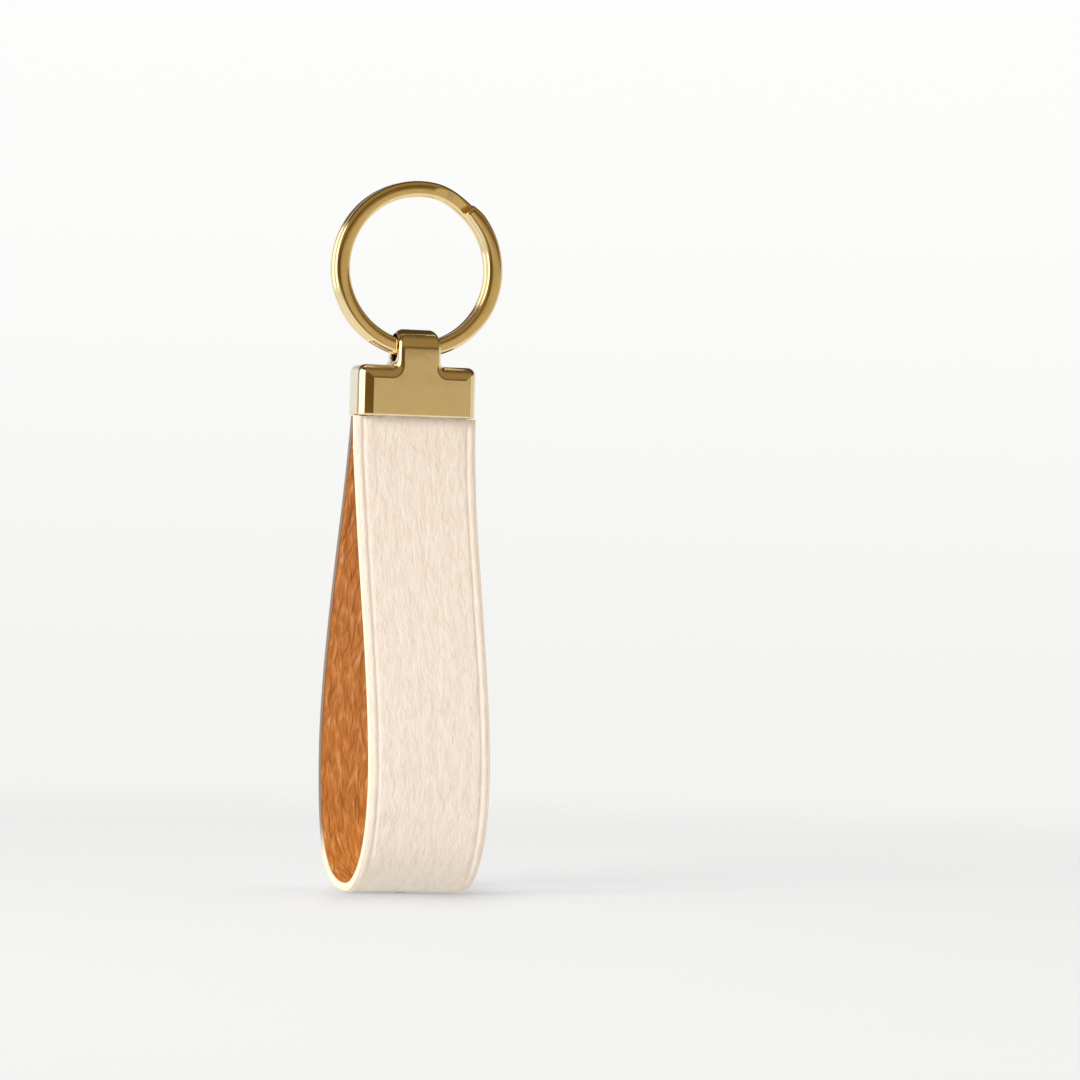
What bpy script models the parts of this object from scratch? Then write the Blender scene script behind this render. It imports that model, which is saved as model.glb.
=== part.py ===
"""A leather loop keyring: a two-turn split ring, a cast T clamp and a folded two-ply strap, edges painted.

Metres, +Z up, and the front face looks along -Y. The origin is the inside of the ring at its top, where
a hook or a finger carries the keyring. The ring is in the XZ plane, and the strap folds in the YZ plane.
"""

import math

import bmesh
import bpy
import numpy as np
from mathutils import Vector
from mathutils.geometry import interpolate_bezier

# Split ring: one flat wire wound nearly twice round, with a step from the front turn to the back turn.
RING_DIAMETER = 0.0276
WIRE_WIDTH = 0.0025
WIRE_THICKNESS = 0.00165
WIRE_EDGE_RADIUS = 0.0006
TURN_GAP = 0.0001
CROSSOVER_LENGTH = 0.0046
WIRE_END_GAP = 0.0003
FRONT_END_TURN_SHARE = 0.108
WIRE_STATIONS = 132
CROSSOVER_STATIONS = 12
WIRE_CORNER_STEPS = 2

# Clamp: a T-shaped casting, deeply rounded in front and finely rounded behind.
CLAMP_SIDE_OVERHANG = 0.000175
CLAMP_DEPTH = 0.0066
CLAMP_SHOULDER_HEIGHT = 0.0080
CLAMP_HEIGHT = 0.01385
CLAMP_CORNER_RADIUS = 0.0022
CLAMP_FRONT_RADIUS = 0.0020
CLAMP_BACK_RADIUS = 0.0008
CLAMP_BOTTOM_RADIUS = 0.0003
TAB_WIDTH = 0.00645
TAB_EDGE_RADIUS = 0.0008
TAB_ROOT_RADIUS = 0.0010
EYE_RISE = 0.0003
EYE_CLEARANCE = 0.00015
EYE_RIM = 0.0002
POCKET_HEIGHT = 0.0058
POCKET_FACE_CLEARANCE = 0.00025
POCKET_SIDE_CLEARANCE = 0.0003
ARC_STEPS = 6
TOP_STEPS = 8
TURN_STEPS = 32

# Strap: an outer leather and a lining, bonded, folded into a loop with both ends in the clamp.
STRAP_WIDTH = 0.0190
OUTER_THICKNESS = 0.0008
LINING_THICKNESS = 0.0006
BOND_GAP = 0.0001
LEG_GAP = 0.0003
TONGUE_INSET = 0.0013
TONGUE_END_GAP = 0.0003
SHOULDER_GAP = 0.0003
LOOP_LENGTH = 0.0737
FRONT_BULGE = 0.0122
BACK_BULGE = 0.0129
FRONT_BULGE_DROP = 0.0565
BACK_BULGE_DROP = 0.0519
BOTTOM_FORWARD = 0.0015
CREASE_INSET = 0.00108
CREASE_WIDTH = 0.0004
CREASE_DEPTH = 0.00015
PAINT_DOME = 0.0002
PAINT_STEPS = 6
LEG_STEPS = 12
BOTTOM_STEPS = 13

# How far each Bezier handle of the loop reaches, as a share of its arc's height or width: front, back.
MOUTH_HANDLE_SHARES = (0.27, 0.10)
BULGE_HANDLE_SHARES = (0.28, 0.35)
LOWER_HANDLE_SHARES = (0.62, 0.84)
BOTTOM_HANDLE_SHARES = (0.56, 0.57)

# Screws: two countersunk slotted screws from behind, through both strap ends.
SCREW_SPACING = 0.0090
SCREW_HEIGHT = 0.0030
SCREW_SHANK_DIAMETER = 0.0016
SCREW_HEAD_DIAMETER = 0.0030
SCREW_HEAD_RIM = 0.0001
SCREW_TIP_CHAMFER = 0.0002
SCREW_SEAT_DEPTH = 0.0003
SCREW_CLEARANCE = 0.00015
SLOT_WIDTH = 0.0005
SLOT_DEPTH = 0.0003

# One overrun serves every cut, and one distance every merge of points that meet.
OVERRUN = 0.0010
MERGE_DISTANCE = 0.000001
SMOOTH_ANGLE = math.radians(35)

wire_radius = (RING_DIAMETER - WIRE_WIDTH) / 2
ring_inner_radius = RING_DIAMETER / 2 - WIRE_WIDTH
turn_pitch = WIRE_THICKNESS + TURN_GAP
ring_depth = turn_pitch + WIRE_THICKNESS

# The eye lies level with the middle of the height that the curved wire takes up inside the tab.
wire_high = math.sqrt(ring_inner_radius**2 - (TAB_WIDTH / 2) ** 2)
eye_below_ring_centre = (RING_DIAMETER / 2 + wire_high) / 2
eye_half_height = (RING_DIAMETER / 2 - wire_high) / 2
wire_corner = (ring_depth / 2 - WIRE_EDGE_RADIUS, eye_half_height - WIRE_EDGE_RADIUS)
wire_reach = WIRE_EDGE_RADIUS + math.hypot(*wire_corner)
eye_radius = wire_reach + EYE_CLEARANCE
clamp_width = STRAP_WIDTH + 2 * CLAMP_SIDE_OVERHANG
tab_centre_height = CLAMP_HEIGHT - CLAMP_DEPTH / 2
tab_root_radius = min(TAB_ROOT_RADIUS, tab_centre_height - CLAMP_SHOULDER_HEIGHT)
eye_above_clamp_foot = tab_centre_height + EYE_RISE

strap_thickness = OUTER_THICKNESS + BOND_GAP + LINING_THICKNESS
leg_offset = (strap_thickness + LEG_GAP) / 2
tongue_width = STRAP_WIDTH - 2 * TONGUE_INSET
tongue_height = POCKET_HEIGHT - TONGUE_END_GAP
pocket_depth = 2 * strap_thickness + LEG_GAP + 2 * POCKET_FACE_CLEARANCE
pocket_width = tongue_width + 2 * POCKET_SIDE_CLEARANCE


def material(name, colour, roughness, metallic):
    """A Principled BSDF with a linear colour."""
    made = bpy.data.materials.new(name)
    made.use_nodes = True
    shader = made.node_tree.nodes["Principled BSDF"]
    shader.inputs["Base Color"].default_value = (*colour, 1)
    shader.inputs["Roughness"].default_value = roughness
    shader.inputs["Metallic"].default_value = metallic
    return made


def place(name, mesh, collection, parent=None, location=(0, 0, 0), rotation=(0, 0, 0)):
    """An object for a mesh, in a collection and under a parent."""
    made = bpy.data.objects.new(name, mesh)
    made.location = location
    made.rotation_euler = rotation
    made.parent = parent
    collection.objects.link(made)
    return made


def mesh_of(name, bm):
    """Closes a bmesh into a mesh with its faces pointing out."""
    bmesh.ops.remove_doubles(bm, verts=bm.verts, dist=MERGE_DISTANCE)
    bmesh.ops.recalc_face_normals(bm, faces=bm.faces)
    mesh = bpy.data.meshes.new(name)
    bm.to_mesh(mesh)
    bm.free()
    mesh.shade_smooth()
    mesh.set_sharp_from_angle(angle=SMOOTH_ANGLE)
    return mesh


def skin(bm, rows, closed):
    """Quads between neighbouring rows of vertices, each row closed into a ring if asked."""
    last = len(rows[0]) - (0 if closed else 1)
    for lower, upper in zip(rows, rows[1:]):
        for k in range(last):
            after = (k + 1) % len(lower)
            bm.faces.new((lower[k], lower[after], upper[after], upper[k]))


def loft(name, sections):
    """A solid through an array of sections, shape (sections, points, 3), capped at both ends."""
    bm = bmesh.new()
    rows = [[bm.verts.new(point) for point in section] for section in sections]
    skin(bm, rows, closed=True)
    bm.faces.new(rows[0])
    bm.faces.new(rows[-1])
    return mesh_of(name, bm)


def turned(name, profile, collection, **where):
    """A profile of (radius, height), from the top down, turned round Z with a Screw modifier."""
    bm = bmesh.new()
    verts = [bm.verts.new((radius, 0, height)) for radius, height in profile]
    for upper, lower in zip(verts, verts[1:]):
        bm.edges.new((upper, lower))
    mesh = bpy.data.meshes.new(name)
    bm.to_mesh(mesh)
    bm.free()
    made = place(name, mesh, collection, **where)
    screw = made.modifiers.new("Turn", "SCREW")
    screw.steps = screw.render_steps = TURN_STEPS
    screw.use_merge_vertices = True
    screw.merge_threshold = MERGE_DISTANCE
    screw.use_smooth_shade = False
    return made


def block(name, low, high, collection, **where):
    """A box between two corners."""
    bm = bmesh.new()
    bmesh.ops.create_cube(bm, size=1)
    size = Vector(high) - Vector(low)
    middle = (Vector(high) + Vector(low)) / 2
    for vert in bm.verts:
        vert.co = middle + Vector(a * b for a, b in zip(vert.co, size))
    return place(name, mesh_of(name, bm), collection, **where)


def cut(piece, cutter):
    """Takes the cutter out of the piece."""
    boolean = piece.modifiers.new("Cut " + cutter.name, "BOOLEAN")
    boolean.operation = "DIFFERENCE"
    boolean.object = cutter


def wire_section():
    """The flat wire across its run: a rectangle with rounded corners, as (radial, axial) offsets."""
    points = []
    for quarter, (side, face) in enumerate(((1, 1), (-1, 1), (-1, -1), (1, -1))):
        for step in range(WIRE_CORNER_STEPS + 1):
            angle = math.radians(90) * (quarter + step / WIRE_CORNER_STEPS)
            radial = side * (WIRE_WIDTH / 2 - WIRE_EDGE_RADIUS) + WIRE_EDGE_RADIUS * math.cos(angle)
            axial = face * (WIRE_THICKNESS / 2 - WIRE_EDGE_RADIUS) + WIRE_EDGE_RADIUS * math.sin(angle)
            points.append((radial, axial))
    return np.array(points)


def split_ring(collection, finish, parent):
    """The wire starts in front, goes once round, steps back over the crossover and goes round again.

    The clock angle runs clockwise from the top, seen from the front. The step is a smooth ramp
    3t^2 - 2t^3 of the turn pitch over the crossover's length.
    """
    crossover = CROSSOVER_LENGTH / wire_radius
    end_gap = WIRE_END_GAP / wire_radius
    first = math.tau * FRONT_END_TURN_SHARE
    clock = np.linspace(first + end_gap, first + 2 * math.tau - crossover - end_gap, WIRE_STATIONS)
    step = np.linspace(first + math.tau - crossover, first + math.tau, CROSSOVER_STATIONS)
    clock = np.union1d(clock[(clock < step[0]) | (clock > step[-1])], step)
    t = np.clip((clock - step[0]) / crossover, 0, 1)
    depth = -turn_pitch / 2 + turn_pitch * t * t * (3 - 2 * t)
    radial, axial = wire_section().T
    radius = wire_radius + radial[None, :]
    sections = np.stack(
        (
            radius * np.sin(clock)[:, None],
            depth[:, None] + axial[None, :],
            radius * np.cos(clock)[:, None],
        ),
        axis=-1,
    )
    centre = (0, 0, -ring_inner_radius)
    ring = place("split_ring", loft("split_ring", sections), collection, parent, centre)
    ring.data.materials.append(finish)


def clamp_outline():
    """The right half of the T outline from the foot up: x, z, the normal's x and z, front and back radius.

    The concave root of the tab blends the deep rounding of the shoulders into the fine one of the tab.
    """
    rows = [
        (clamp_width / 2, CLAMP_BOTTOM_RADIUS, 1, 0, CLAMP_FRONT_RADIUS, CLAMP_BACK_RADIUS),
    ]
    corner_x = clamp_width / 2 - CLAMP_CORNER_RADIUS
    corner_z = CLAMP_SHOULDER_HEIGHT - CLAMP_CORNER_RADIUS
    for angle in np.linspace(0, math.pi / 2, ARC_STEPS + 1):
        across, up = math.cos(angle), math.sin(angle)
        x = corner_x + CLAMP_CORNER_RADIUS * across
        z = corner_z + CLAMP_CORNER_RADIUS * up
        rows.append((x, z, across, up, CLAMP_FRONT_RADIUS, CLAMP_BACK_RADIUS))
    root_x = TAB_WIDTH / 2 + tab_root_radius
    root_z = CLAMP_SHOULDER_HEIGHT + tab_root_radius
    for angle in np.linspace(0, math.pi / 2, ARC_STEPS + 1):
        across, up = math.sin(angle), math.cos(angle)
        part = math.sin(angle) ** 2
        front = CLAMP_FRONT_RADIUS + (TAB_EDGE_RADIUS - CLAMP_FRONT_RADIUS) * part
        back = CLAMP_BACK_RADIUS + (TAB_EDGE_RADIUS - CLAMP_BACK_RADIUS) * part
        x = root_x - tab_root_radius * across
        z = root_z - tab_root_radius * up
        rows.append((x, z, across, up, front, back))
    return rows


def edge_angles():
    """The quarter turn from the flat face to the side wall."""
    return np.linspace(0, math.pi / 2, ARC_STEPS + 1)


def outline_rib(x, z, across, up, front, back):
    """One rib from the front flat, over the rounded edges and the side wall, to the back flat."""
    turn = edge_angles()
    inset = np.concatenate((front * (1 - np.sin(turn)), back * (1 - np.sin(turn))[::-1]))
    y = np.concatenate(
        (
            front * (1 - np.cos(turn)) - CLAMP_DEPTH / 2,
            CLAMP_DEPTH / 2 - back * (1 - np.cos(turn))[::-1],
        )
    )
    return np.stack((x - across * inset, y, z - up * inset), axis=-1)


def foot_rib(down):
    """The lowest side rib drawn in round the small edge of the foot, by an angle from the wall down."""
    x, z, across, up, front, back = clamp_outline()[0]
    rib = outline_rib(x, z, across, up, front, back)
    turn = edge_angles()
    outward = np.concatenate((np.sin(turn), np.sin(turn)[::-1]))
    forward = np.concatenate((-np.cos(turn), np.cos(turn)[::-1]))
    drawn_in = CLAMP_BOTTOM_RADIUS * (1 - math.cos(down))
    rib[:, 0] -= drawn_in * outward
    rib[:, 1] -= drawn_in * forward
    rib[:, 2] = CLAMP_BOTTOM_RADIUS * (1 - math.sin(down))
    return rib


def top_rib(lift):
    """A rib of the tab's half-round top, at an angle from level to straight up."""
    turn = edge_angles()
    x = TAB_WIDTH / 2 - TAB_EDGE_RADIUS * (1 - np.sin(turn))
    radius = CLAMP_DEPTH / 2 - TAB_EDGE_RADIUS * (1 - np.cos(turn))
    front = np.stack((x, -radius * math.cos(lift), tab_centre_height + radius * math.sin(lift)), axis=-1)
    back = front[::-1] * (1, -1, 1)
    return np.concatenate((front, back))


def clamp_half(bm):
    """The right half of the casting, open at the mirror plane."""
    foot = [foot_rib(angle) for angle in np.linspace(math.pi / 2, 0, ARC_STEPS // 2, endpoint=False)]
    wall = [outline_rib(*row) for row in clamp_outline()]
    top = [top_rib(angle) for angle in np.linspace(0, math.pi / 2, TOP_STEPS + 1)]
    ribs = [[bm.verts.new(point) for point in rib] for rib in (*foot, *wall, *top)]
    skin(bm, ribs, closed=False)

    def middle(vert):
        return bm.verts.new((0, vert.co.y, vert.co.z))

    flat = range(len(foot), len(foot) + len(wall) + 1)
    curved = [k for k in range(len(ribs)) if k not in flat[1:-1]]
    for side in (0, -1):
        centre = {k: middle(ribs[k][side]) for k in curved}
        for k, after in zip(curved, curved[1:]):
            if after == k + 1:
                bm.faces.new((ribs[k][side], ribs[after][side], centre[after], centre[k]))
        bm.faces.new((*(ribs[k][side] for k in flat), centre[flat[-1]], centre[flat[0]]))
    bm.faces.new((*ribs[0], middle(ribs[0][-1]), middle(ribs[0][0])))


def screw_profile(grow, shank_length):
    """A countersunk screw from its head's top down, made larger all round by a clearance."""
    head = SCREW_HEAD_DIAMETER / 2 + grow
    shank = SCREW_SHANK_DIAMETER / 2 + grow
    cone_foot = -SCREW_HEAD_RIM - (head - shank)
    tip = -shank_length - grow
    return (
        (0, 0),
        (head, 0),
        (head, -SCREW_HEAD_RIM),
        (shank, cone_foot),
        (shank, tip + SCREW_TIP_CHAMFER),
        (shank - SCREW_TIP_CHAMFER, tip),
        (0, tip),
    )


def screw_length():
    """From the back face to the blind seat in the front wall."""
    front_wall = (CLAMP_DEPTH - pocket_depth) / 2
    return CLAMP_DEPTH - front_wall + SCREW_SEAT_DEPTH


def screw_places():
    """Each screw's side name and the centre of its head on the back face."""
    for name, side in (("left", -1), ("right", 1)):
        yield name, (side * SCREW_SPACING / 2, CLAMP_DEPTH / 2, SCREW_HEIGHT)


def screw_cutters(cutters, parent):
    """The countersunk and blind holes in the casting."""
    length = screw_length()
    for name, (x, y, z) in screw_places():
        profile = list(screw_profile(SCREW_CLEARANCE, length))
        head = profile[1][0]
        profile[0] = (0, OVERRUN)
        profile[1] = (head, OVERRUN)
        yield turned(
            "hole_" + name,
            profile,
            cutters,
            parent=parent,
            location=(x, y, z),
            rotation=(-math.pi / 2, 0, 0),
        )


def eye_cutter(cutters, parent):
    """The cross hole for the ring, opened at both rims."""
    half = TAB_WIDTH / 2
    rim = eye_radius + EYE_RIM
    reach = half + OVERRUN
    profile = ((0, reach), (rim, reach), (rim, half), (eye_radius, half - EYE_RIM))
    profile += tuple((radius, -height) for radius, height in reversed(profile))
    return turned(
        "eye",
        profile,
        cutters,
        parent=parent,
        location=(0, 0, eye_above_clamp_foot),
        rotation=(0, math.pi / 2, 0),
    )


def clamp(collection, cutters, finish, parent):
    """The T casting with its pocket for the strap ends, the eye and the screw holes."""
    bm = bmesh.new()
    clamp_half(bm)
    body = place("clamp_body", mesh_of("clamp_body", bm), collection, parent)
    body.data.materials.append(finish)
    mirror = body.modifiers.new("Other half", "MIRROR")
    mirror.merge_threshold = MERGE_DISTANCE
    pocket = block(
        "pocket",
        (-pocket_width / 2, -pocket_depth / 2, -OVERRUN),
        (pocket_width / 2, pocket_depth / 2, POCKET_HEIGHT),
        cutters,
        parent=parent,
    )
    cut(body, pocket)
    cut(body, eye_cutter(cutters, parent))
    for hole in screw_cutters(cutters, parent):
        cut(body, hole)


def screws(collection, cutters, finish, parent):
    """Two slotted screws, their heads level with the back face."""
    length = screw_length()
    for name, (x, y, z) in screw_places():
        made = turned(
            "clamp_screw_" + name,
            screw_profile(0, length),
            collection,
            parent=parent,
            location=(x, y, z),
            rotation=(-math.pi / 2, 0, 0),
        )
        made.data.materials.append(finish)
        slot = block(
            "slot_" + name,
            (x - SCREW_HEAD_DIAMETER, y - SLOT_DEPTH, z - SLOT_WIDTH / 2),
            (x + SCREW_HEAD_DIAMETER, y + OVERRUN, z + SLOT_WIDTH / 2),
            cutters,
            parent=parent,
        )
        cut(made, slot)


def loop_path():
    """The strap's middle line from one shoulder to the other, as (y, z) points seen from the side.

    Four Bezier arcs: down the front leg to its bulge, round the bottom in two quarters, and up the back leg.
    """
    front_top = Vector((-leg_offset, -SHOULDER_GAP))
    back_top = Vector((leg_offset, -SHOULDER_GAP))
    front_side = Vector((-leg_offset - FRONT_BULGE, -FRONT_BULGE_DROP))
    back_side = Vector((leg_offset + BACK_BULGE, -BACK_BULGE_DROP))
    bottom = Vector(((front_side.x + back_side.x) / 2 - BOTTOM_FORWARD, -LOOP_LENGTH))
    up = Vector((0, 1))

    def leg(top, side, which):
        fall = up * (top.y - side.y)
        return top - MOUTH_HANDLE_SHARES[which] * fall, side + BULGE_HANDLE_SHARES[which] * fall

    def quarter(side, which):
        fall = up * (side.y - bottom.y)
        reach = Vector((side.x - bottom.x, 0))
        return side - LOWER_HANDLE_SHARES[which] * fall, bottom + BOTTOM_HANDLE_SHARES[which] * reach

    front_high, front_low = leg(front_top, front_side, 0)
    back_high, back_low = leg(back_top, back_side, 1)
    front_under, bottom_front = quarter(front_side, 0)
    back_under, bottom_back = quarter(back_side, 1)
    arcs = (
        (front_top, front_high, front_low, front_side, LEG_STEPS),
        (front_side, front_under, bottom_front, bottom, BOTTOM_STEPS),
        (bottom, bottom_back, back_under, back_side, BOTTOM_STEPS),
        (back_side, back_low, back_high, back_top, LEG_STEPS),
    )
    points = [front_top]
    for start, first, second, end, steps in arcs:
        points += interpolate_bezier(start, first, second, end, steps + 1)[1:]
    return np.array([tuple(point) for point in points])


def strap_path():
    """The loop's line with a straight tongue added at each end, up into the pocket."""
    line = loop_path()
    front_end = (line[0, 0], tongue_height)
    back_end = (line[-1, 0], tongue_height)
    return np.vstack((front_end, line, back_end))


def swept(line, profile):
    """Carries a profile of (x, outward) points along a line in the YZ plane, square to the line."""
    along = np.gradient(line, axis=0)
    along[0] = line[1] - line[0]
    along[-1] = line[-1] - line[-2]
    along[0, 0] = along[-1, 0] = 0
    along /= np.linalg.norm(along, axis=1, keepdims=True)
    outward = np.stack((along[:, 1], -along[:, 0]), axis=-1)
    x = np.broadcast_to(profile[:, 0], (len(line), len(profile)))
    place_yz = line[:, None, :] + outward[:, None, :] * profile[None, :, 1, None]
    return np.concatenate((x[:, :, None], place_yz), axis=-1)


def outer_profile():
    """The outer leather across its width, with a creased line near each edge of its face."""
    face = strap_thickness / 2
    under = face - OUTER_THICKNESS
    half = STRAP_WIDTH / 2
    crease = half - CREASE_INSET
    right = (
        (half, under),
        (half, face),
        (crease + CREASE_WIDTH / 2, face),
        (crease, face - CREASE_DEPTH),
        (crease - CREASE_WIDTH / 2, face),
    )
    left = tuple((-x, out) for x, out in reversed(right))
    return np.array(right + left)


def lining_profile():
    """The lining across its width."""
    face = LINING_THICKNESS - strap_thickness / 2
    back = -strap_thickness / 2
    half = STRAP_WIDTH / 2
    return np.array(((half, back), (half, face), (-half, face), (-half, back)))


def paint_profile(side):
    """The painted edge: a flat back on the leather and a low dome outwards, half an ellipse."""
    turn = np.linspace(-math.pi / 2, math.pi / 2, PAINT_STEPS + 1)
    x = STRAP_WIDTH / 2 + BOND_GAP + PAINT_DOME * np.cos(turn)
    return np.stack((side * x, strap_thickness / 2 * np.sin(turn)), axis=-1)


def strap(collection, cutters, cream, tan, paint, parent):
    """Both leathers with their tongues cut to the pocket, and the paint along both edges of the loop."""
    line = strap_path()
    outer_mesh = loft("strap_outer", swept(line, outer_profile()))
    lining_mesh = loft("strap_lining", swept(line, lining_profile()))
    outer = place("strap_outer", outer_mesh, collection, parent)
    lining = place("strap_lining", lining_mesh, collection, parent)
    outer.data.materials.append(cream)
    lining.data.materials.append(tan)
    depth = leg_offset + strap_thickness
    for name, side in (("left", -1), ("right", 1)):
        near, far = side * tongue_width / 2, side * (STRAP_WIDTH / 2 + OVERRUN)
        notch = block(
            "notch_" + name,
            (min(near, far), -depth, -SHOULDER_GAP),
            (max(near, far), depth, POCKET_HEIGHT),
            cutters,
            parent=parent,
        )
        cut(outer, notch)
        cut(lining, notch)
    bore = SCREW_SHANK_DIAMETER / 2 + SCREW_CLEARANCE
    reach = CLAMP_DEPTH + OVERRUN
    for name, (x, y, z) in screw_places():
        hole = turned(
            "tongue_hole_" + name,
            ((0, OVERRUN), (bore, OVERRUN), (bore, -reach), (0, -reach)),
            cutters,
            parent=parent,
            location=(x, y, z),
            rotation=(-math.pi / 2, 0, 0),
        )
        cut(outer, hole)
        cut(lining, hole)
    for name, side in (("left", -1), ("right", 1)):
        sections = swept(loop_path(), paint_profile(side))
        edge = place("edge_paint_" + name, loft("edge_paint_" + name, sections), collection, parent)
        edge.data.materials.append(paint)


def main():
    for old in list(bpy.data.objects):
        bpy.data.objects.remove(old)
    scene = bpy.context.scene.collection
    pieces = bpy.data.collections.new("leather_keyring")
    cutters = bpy.data.collections.new("cutters")
    scene.children.link(pieces)
    scene.children.link(cutters)

    gold = material("polished gold", (0.55, 0.34, 0.12), 0.16, 1)
    screw_gold = material("screw gold", (0.50, 0.30, 0.10), 0.28, 1)
    cream = material("cream leather", (0.86, 0.77, 0.66), 0.55, 0)
    tan = material("tan lining", (0.45, 0.16, 0.05), 0.65, 0)
    paint = material("edge paint", (0.96, 0.92, 0.74), 0.30, 0)

    hang = place("hang_point", None, pieces)
    pivot = place("fob_pivot", None, pieces, hang, (0, 0, -ring_inner_radius - eye_below_ring_centre))
    foot = place("clamp_foot", None, pieces, pivot, (0, 0, -eye_above_clamp_foot))

    split_ring(pieces, gold, hang)
    clamp(pieces, cutters, gold, foot)
    screws(pieces, cutters, screw_gold, foot)
    strap(pieces, cutters, cream, tan, paint, foot)
    for cutter in cutters.objects:
        cutter.hide_render = True
        cutter.display_type = "WIRE"


main()
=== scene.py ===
# %% [markdown]
# # A leather keyring, dressed over its plain solids
#
# The real object is made of five stuffs: pale gold plate, the duller plate of the screws, cream leather, a
# tan lining and the glossy paint on the strap's edges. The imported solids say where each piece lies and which
# pieces move together. This lesson puts a fine surface over each solid, gives each its finish, and sets up
# camera, floor and light. All lengths are in metres, +Z is up, and the front looks along -Y.

import math

import bmesh
import bpy
import numpy as np
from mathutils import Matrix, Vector


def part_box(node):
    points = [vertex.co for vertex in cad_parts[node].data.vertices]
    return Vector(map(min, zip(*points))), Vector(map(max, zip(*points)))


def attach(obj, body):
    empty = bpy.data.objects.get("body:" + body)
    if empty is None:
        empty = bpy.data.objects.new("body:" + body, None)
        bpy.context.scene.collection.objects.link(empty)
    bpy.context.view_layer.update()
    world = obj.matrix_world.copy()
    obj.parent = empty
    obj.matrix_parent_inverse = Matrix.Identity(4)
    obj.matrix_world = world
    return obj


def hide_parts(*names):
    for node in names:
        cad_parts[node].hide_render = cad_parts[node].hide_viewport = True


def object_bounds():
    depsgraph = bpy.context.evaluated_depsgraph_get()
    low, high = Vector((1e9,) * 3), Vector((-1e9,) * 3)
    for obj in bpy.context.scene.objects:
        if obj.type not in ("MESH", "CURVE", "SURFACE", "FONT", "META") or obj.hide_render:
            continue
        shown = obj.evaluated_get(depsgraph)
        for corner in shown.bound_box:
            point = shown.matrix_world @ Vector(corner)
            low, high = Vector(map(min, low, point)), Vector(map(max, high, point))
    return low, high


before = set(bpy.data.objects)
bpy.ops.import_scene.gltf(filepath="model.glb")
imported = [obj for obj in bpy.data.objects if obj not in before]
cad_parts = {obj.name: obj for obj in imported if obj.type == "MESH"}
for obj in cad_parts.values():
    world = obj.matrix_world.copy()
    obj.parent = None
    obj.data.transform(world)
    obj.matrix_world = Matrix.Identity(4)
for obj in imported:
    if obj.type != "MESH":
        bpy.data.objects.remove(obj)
cad_low, cad_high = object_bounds()
print("solids' box in mm", [round((b - a) * 1000, 1) for a, b in zip(cad_low, cad_high)])

# %% [markdown]
# ## Sizes
#
# Each piece's cell starts with its named sizes: the solids' own, some of them trimmed a little. One unit,
# the millimetre, keeps them readable. Heights of the clamp and the strap are counted from the clamp's foot.

# %% Find the clamp's foot
MM = 0.001
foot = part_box("clamp_body")[0].z
print("clamp's foot at", round(foot / MM, 3), "mm")

# %% [markdown]
# ## The camera
#
# The photograph looks at the keyring from the left of its front, almost level, through a long lens: the
# upright edges hardly converge. The place, turn and focal length come from a fit of the known sizes to the
# outlines in the picture. A camera aimed by eye would be quicker, but the outlines would not meet.

# %% Set up the camera
CAMERA_PLACE = (-269.3 * MM, -835.0 * MM, -58.65 * MM)
CAMERA_TURN = (90.358, -1.552, -19.219)
LENS = 186.6
NEAREST, FARTHEST = 0.05, 20


def in_scene(name, data):
    """A new object in the scene, made of a mesh, a lamp or a camera."""
    made = bpy.data.objects.new(name, data)
    bpy.context.scene.collection.objects.link(made)
    return made


camera = in_scene("Camera", bpy.data.cameras.new("Camera"))
camera.data.lens = LENS
camera.data.clip_start = NEAREST
camera.data.clip_end = FARTHEST
camera.location = CAMERA_PLACE
camera.rotation_euler = [math.radians(angle) for angle in CAMERA_TURN]
bpy.context.scene.camera = camera
bpy.context.scene.view_settings.view_transform = "Standard"
print("camera", round(math.dist(CAMERA_PLACE, (0, 0, foot)), 3), "m from the clamp")

# %% [markdown]
# ## From a grid of points to a mesh
#
# Every new piece is a surface over two parameters: numpy works out a whole grid of points at once, and the
# mesh takes them in one call. Modelling by hand would also do, but a formula keeps each form true to its
# size. A closed piece must face outwards, so the helper measures its signed volume and turns it if needed.

# %% Make meshes from grids
MERGE_WITHIN = 0.0004 * MM
SHARP_FROM = 40


def quarter(count):
    """Angles from 0 to a quarter turn, evenly spaced."""
    return np.linspace(0, math.pi / 2, count)


def eased(t):
    """A smooth rise from 0 to 1 while t goes from 0 to 1, flat at both ends: 3t^2 - 2t^3."""
    t = np.clip(t, 0, 1)
    return t * t * (3 - 2 * t)


def stacked(*parts):
    """Puts arrays side by side in a new last axis, and repeats the smaller ones to fit."""
    return np.stack(np.broadcast_arrays(*parts), axis=-1)


def grid_faces(rows, columns, wrap=False):
    """Four corner numbers for each quad of a grid, whose columns close into a ring if wrap is set."""
    row, column = np.meshgrid(np.arange(rows - 1), np.arange(columns - (0 if wrap else 1)), indexing="ij")
    after = (column + 1) % columns
    this_row, next_row = row * columns, (row + 1) * columns
    return stacked(this_row + column, this_row + after, next_row + after, next_row + column).reshape(-1, 4)


def tube_faces(rows, columns):
    """Quads round a tube of closed sections, and one flat face at each end."""
    sides = grid_faces(rows, columns, wrap=True).tolist()
    start = list(range(columns))
    end = [(rows - 1) * columns + k for k in range(columns)]
    return sides + [start, end]


def keep(mesh, name, values):
    """Stores a number or a vector for each point as an attribute, which a finish can read."""
    vectors = values.size == 3 * len(mesh.vertices)
    made = mesh.attributes.new(name, "FLOAT_VECTOR" if vectors else "FLOAT", "POINT")
    made.data.foreach_set("vector" if vectors else "value", values.reshape(-1).astype(np.float32))


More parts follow.
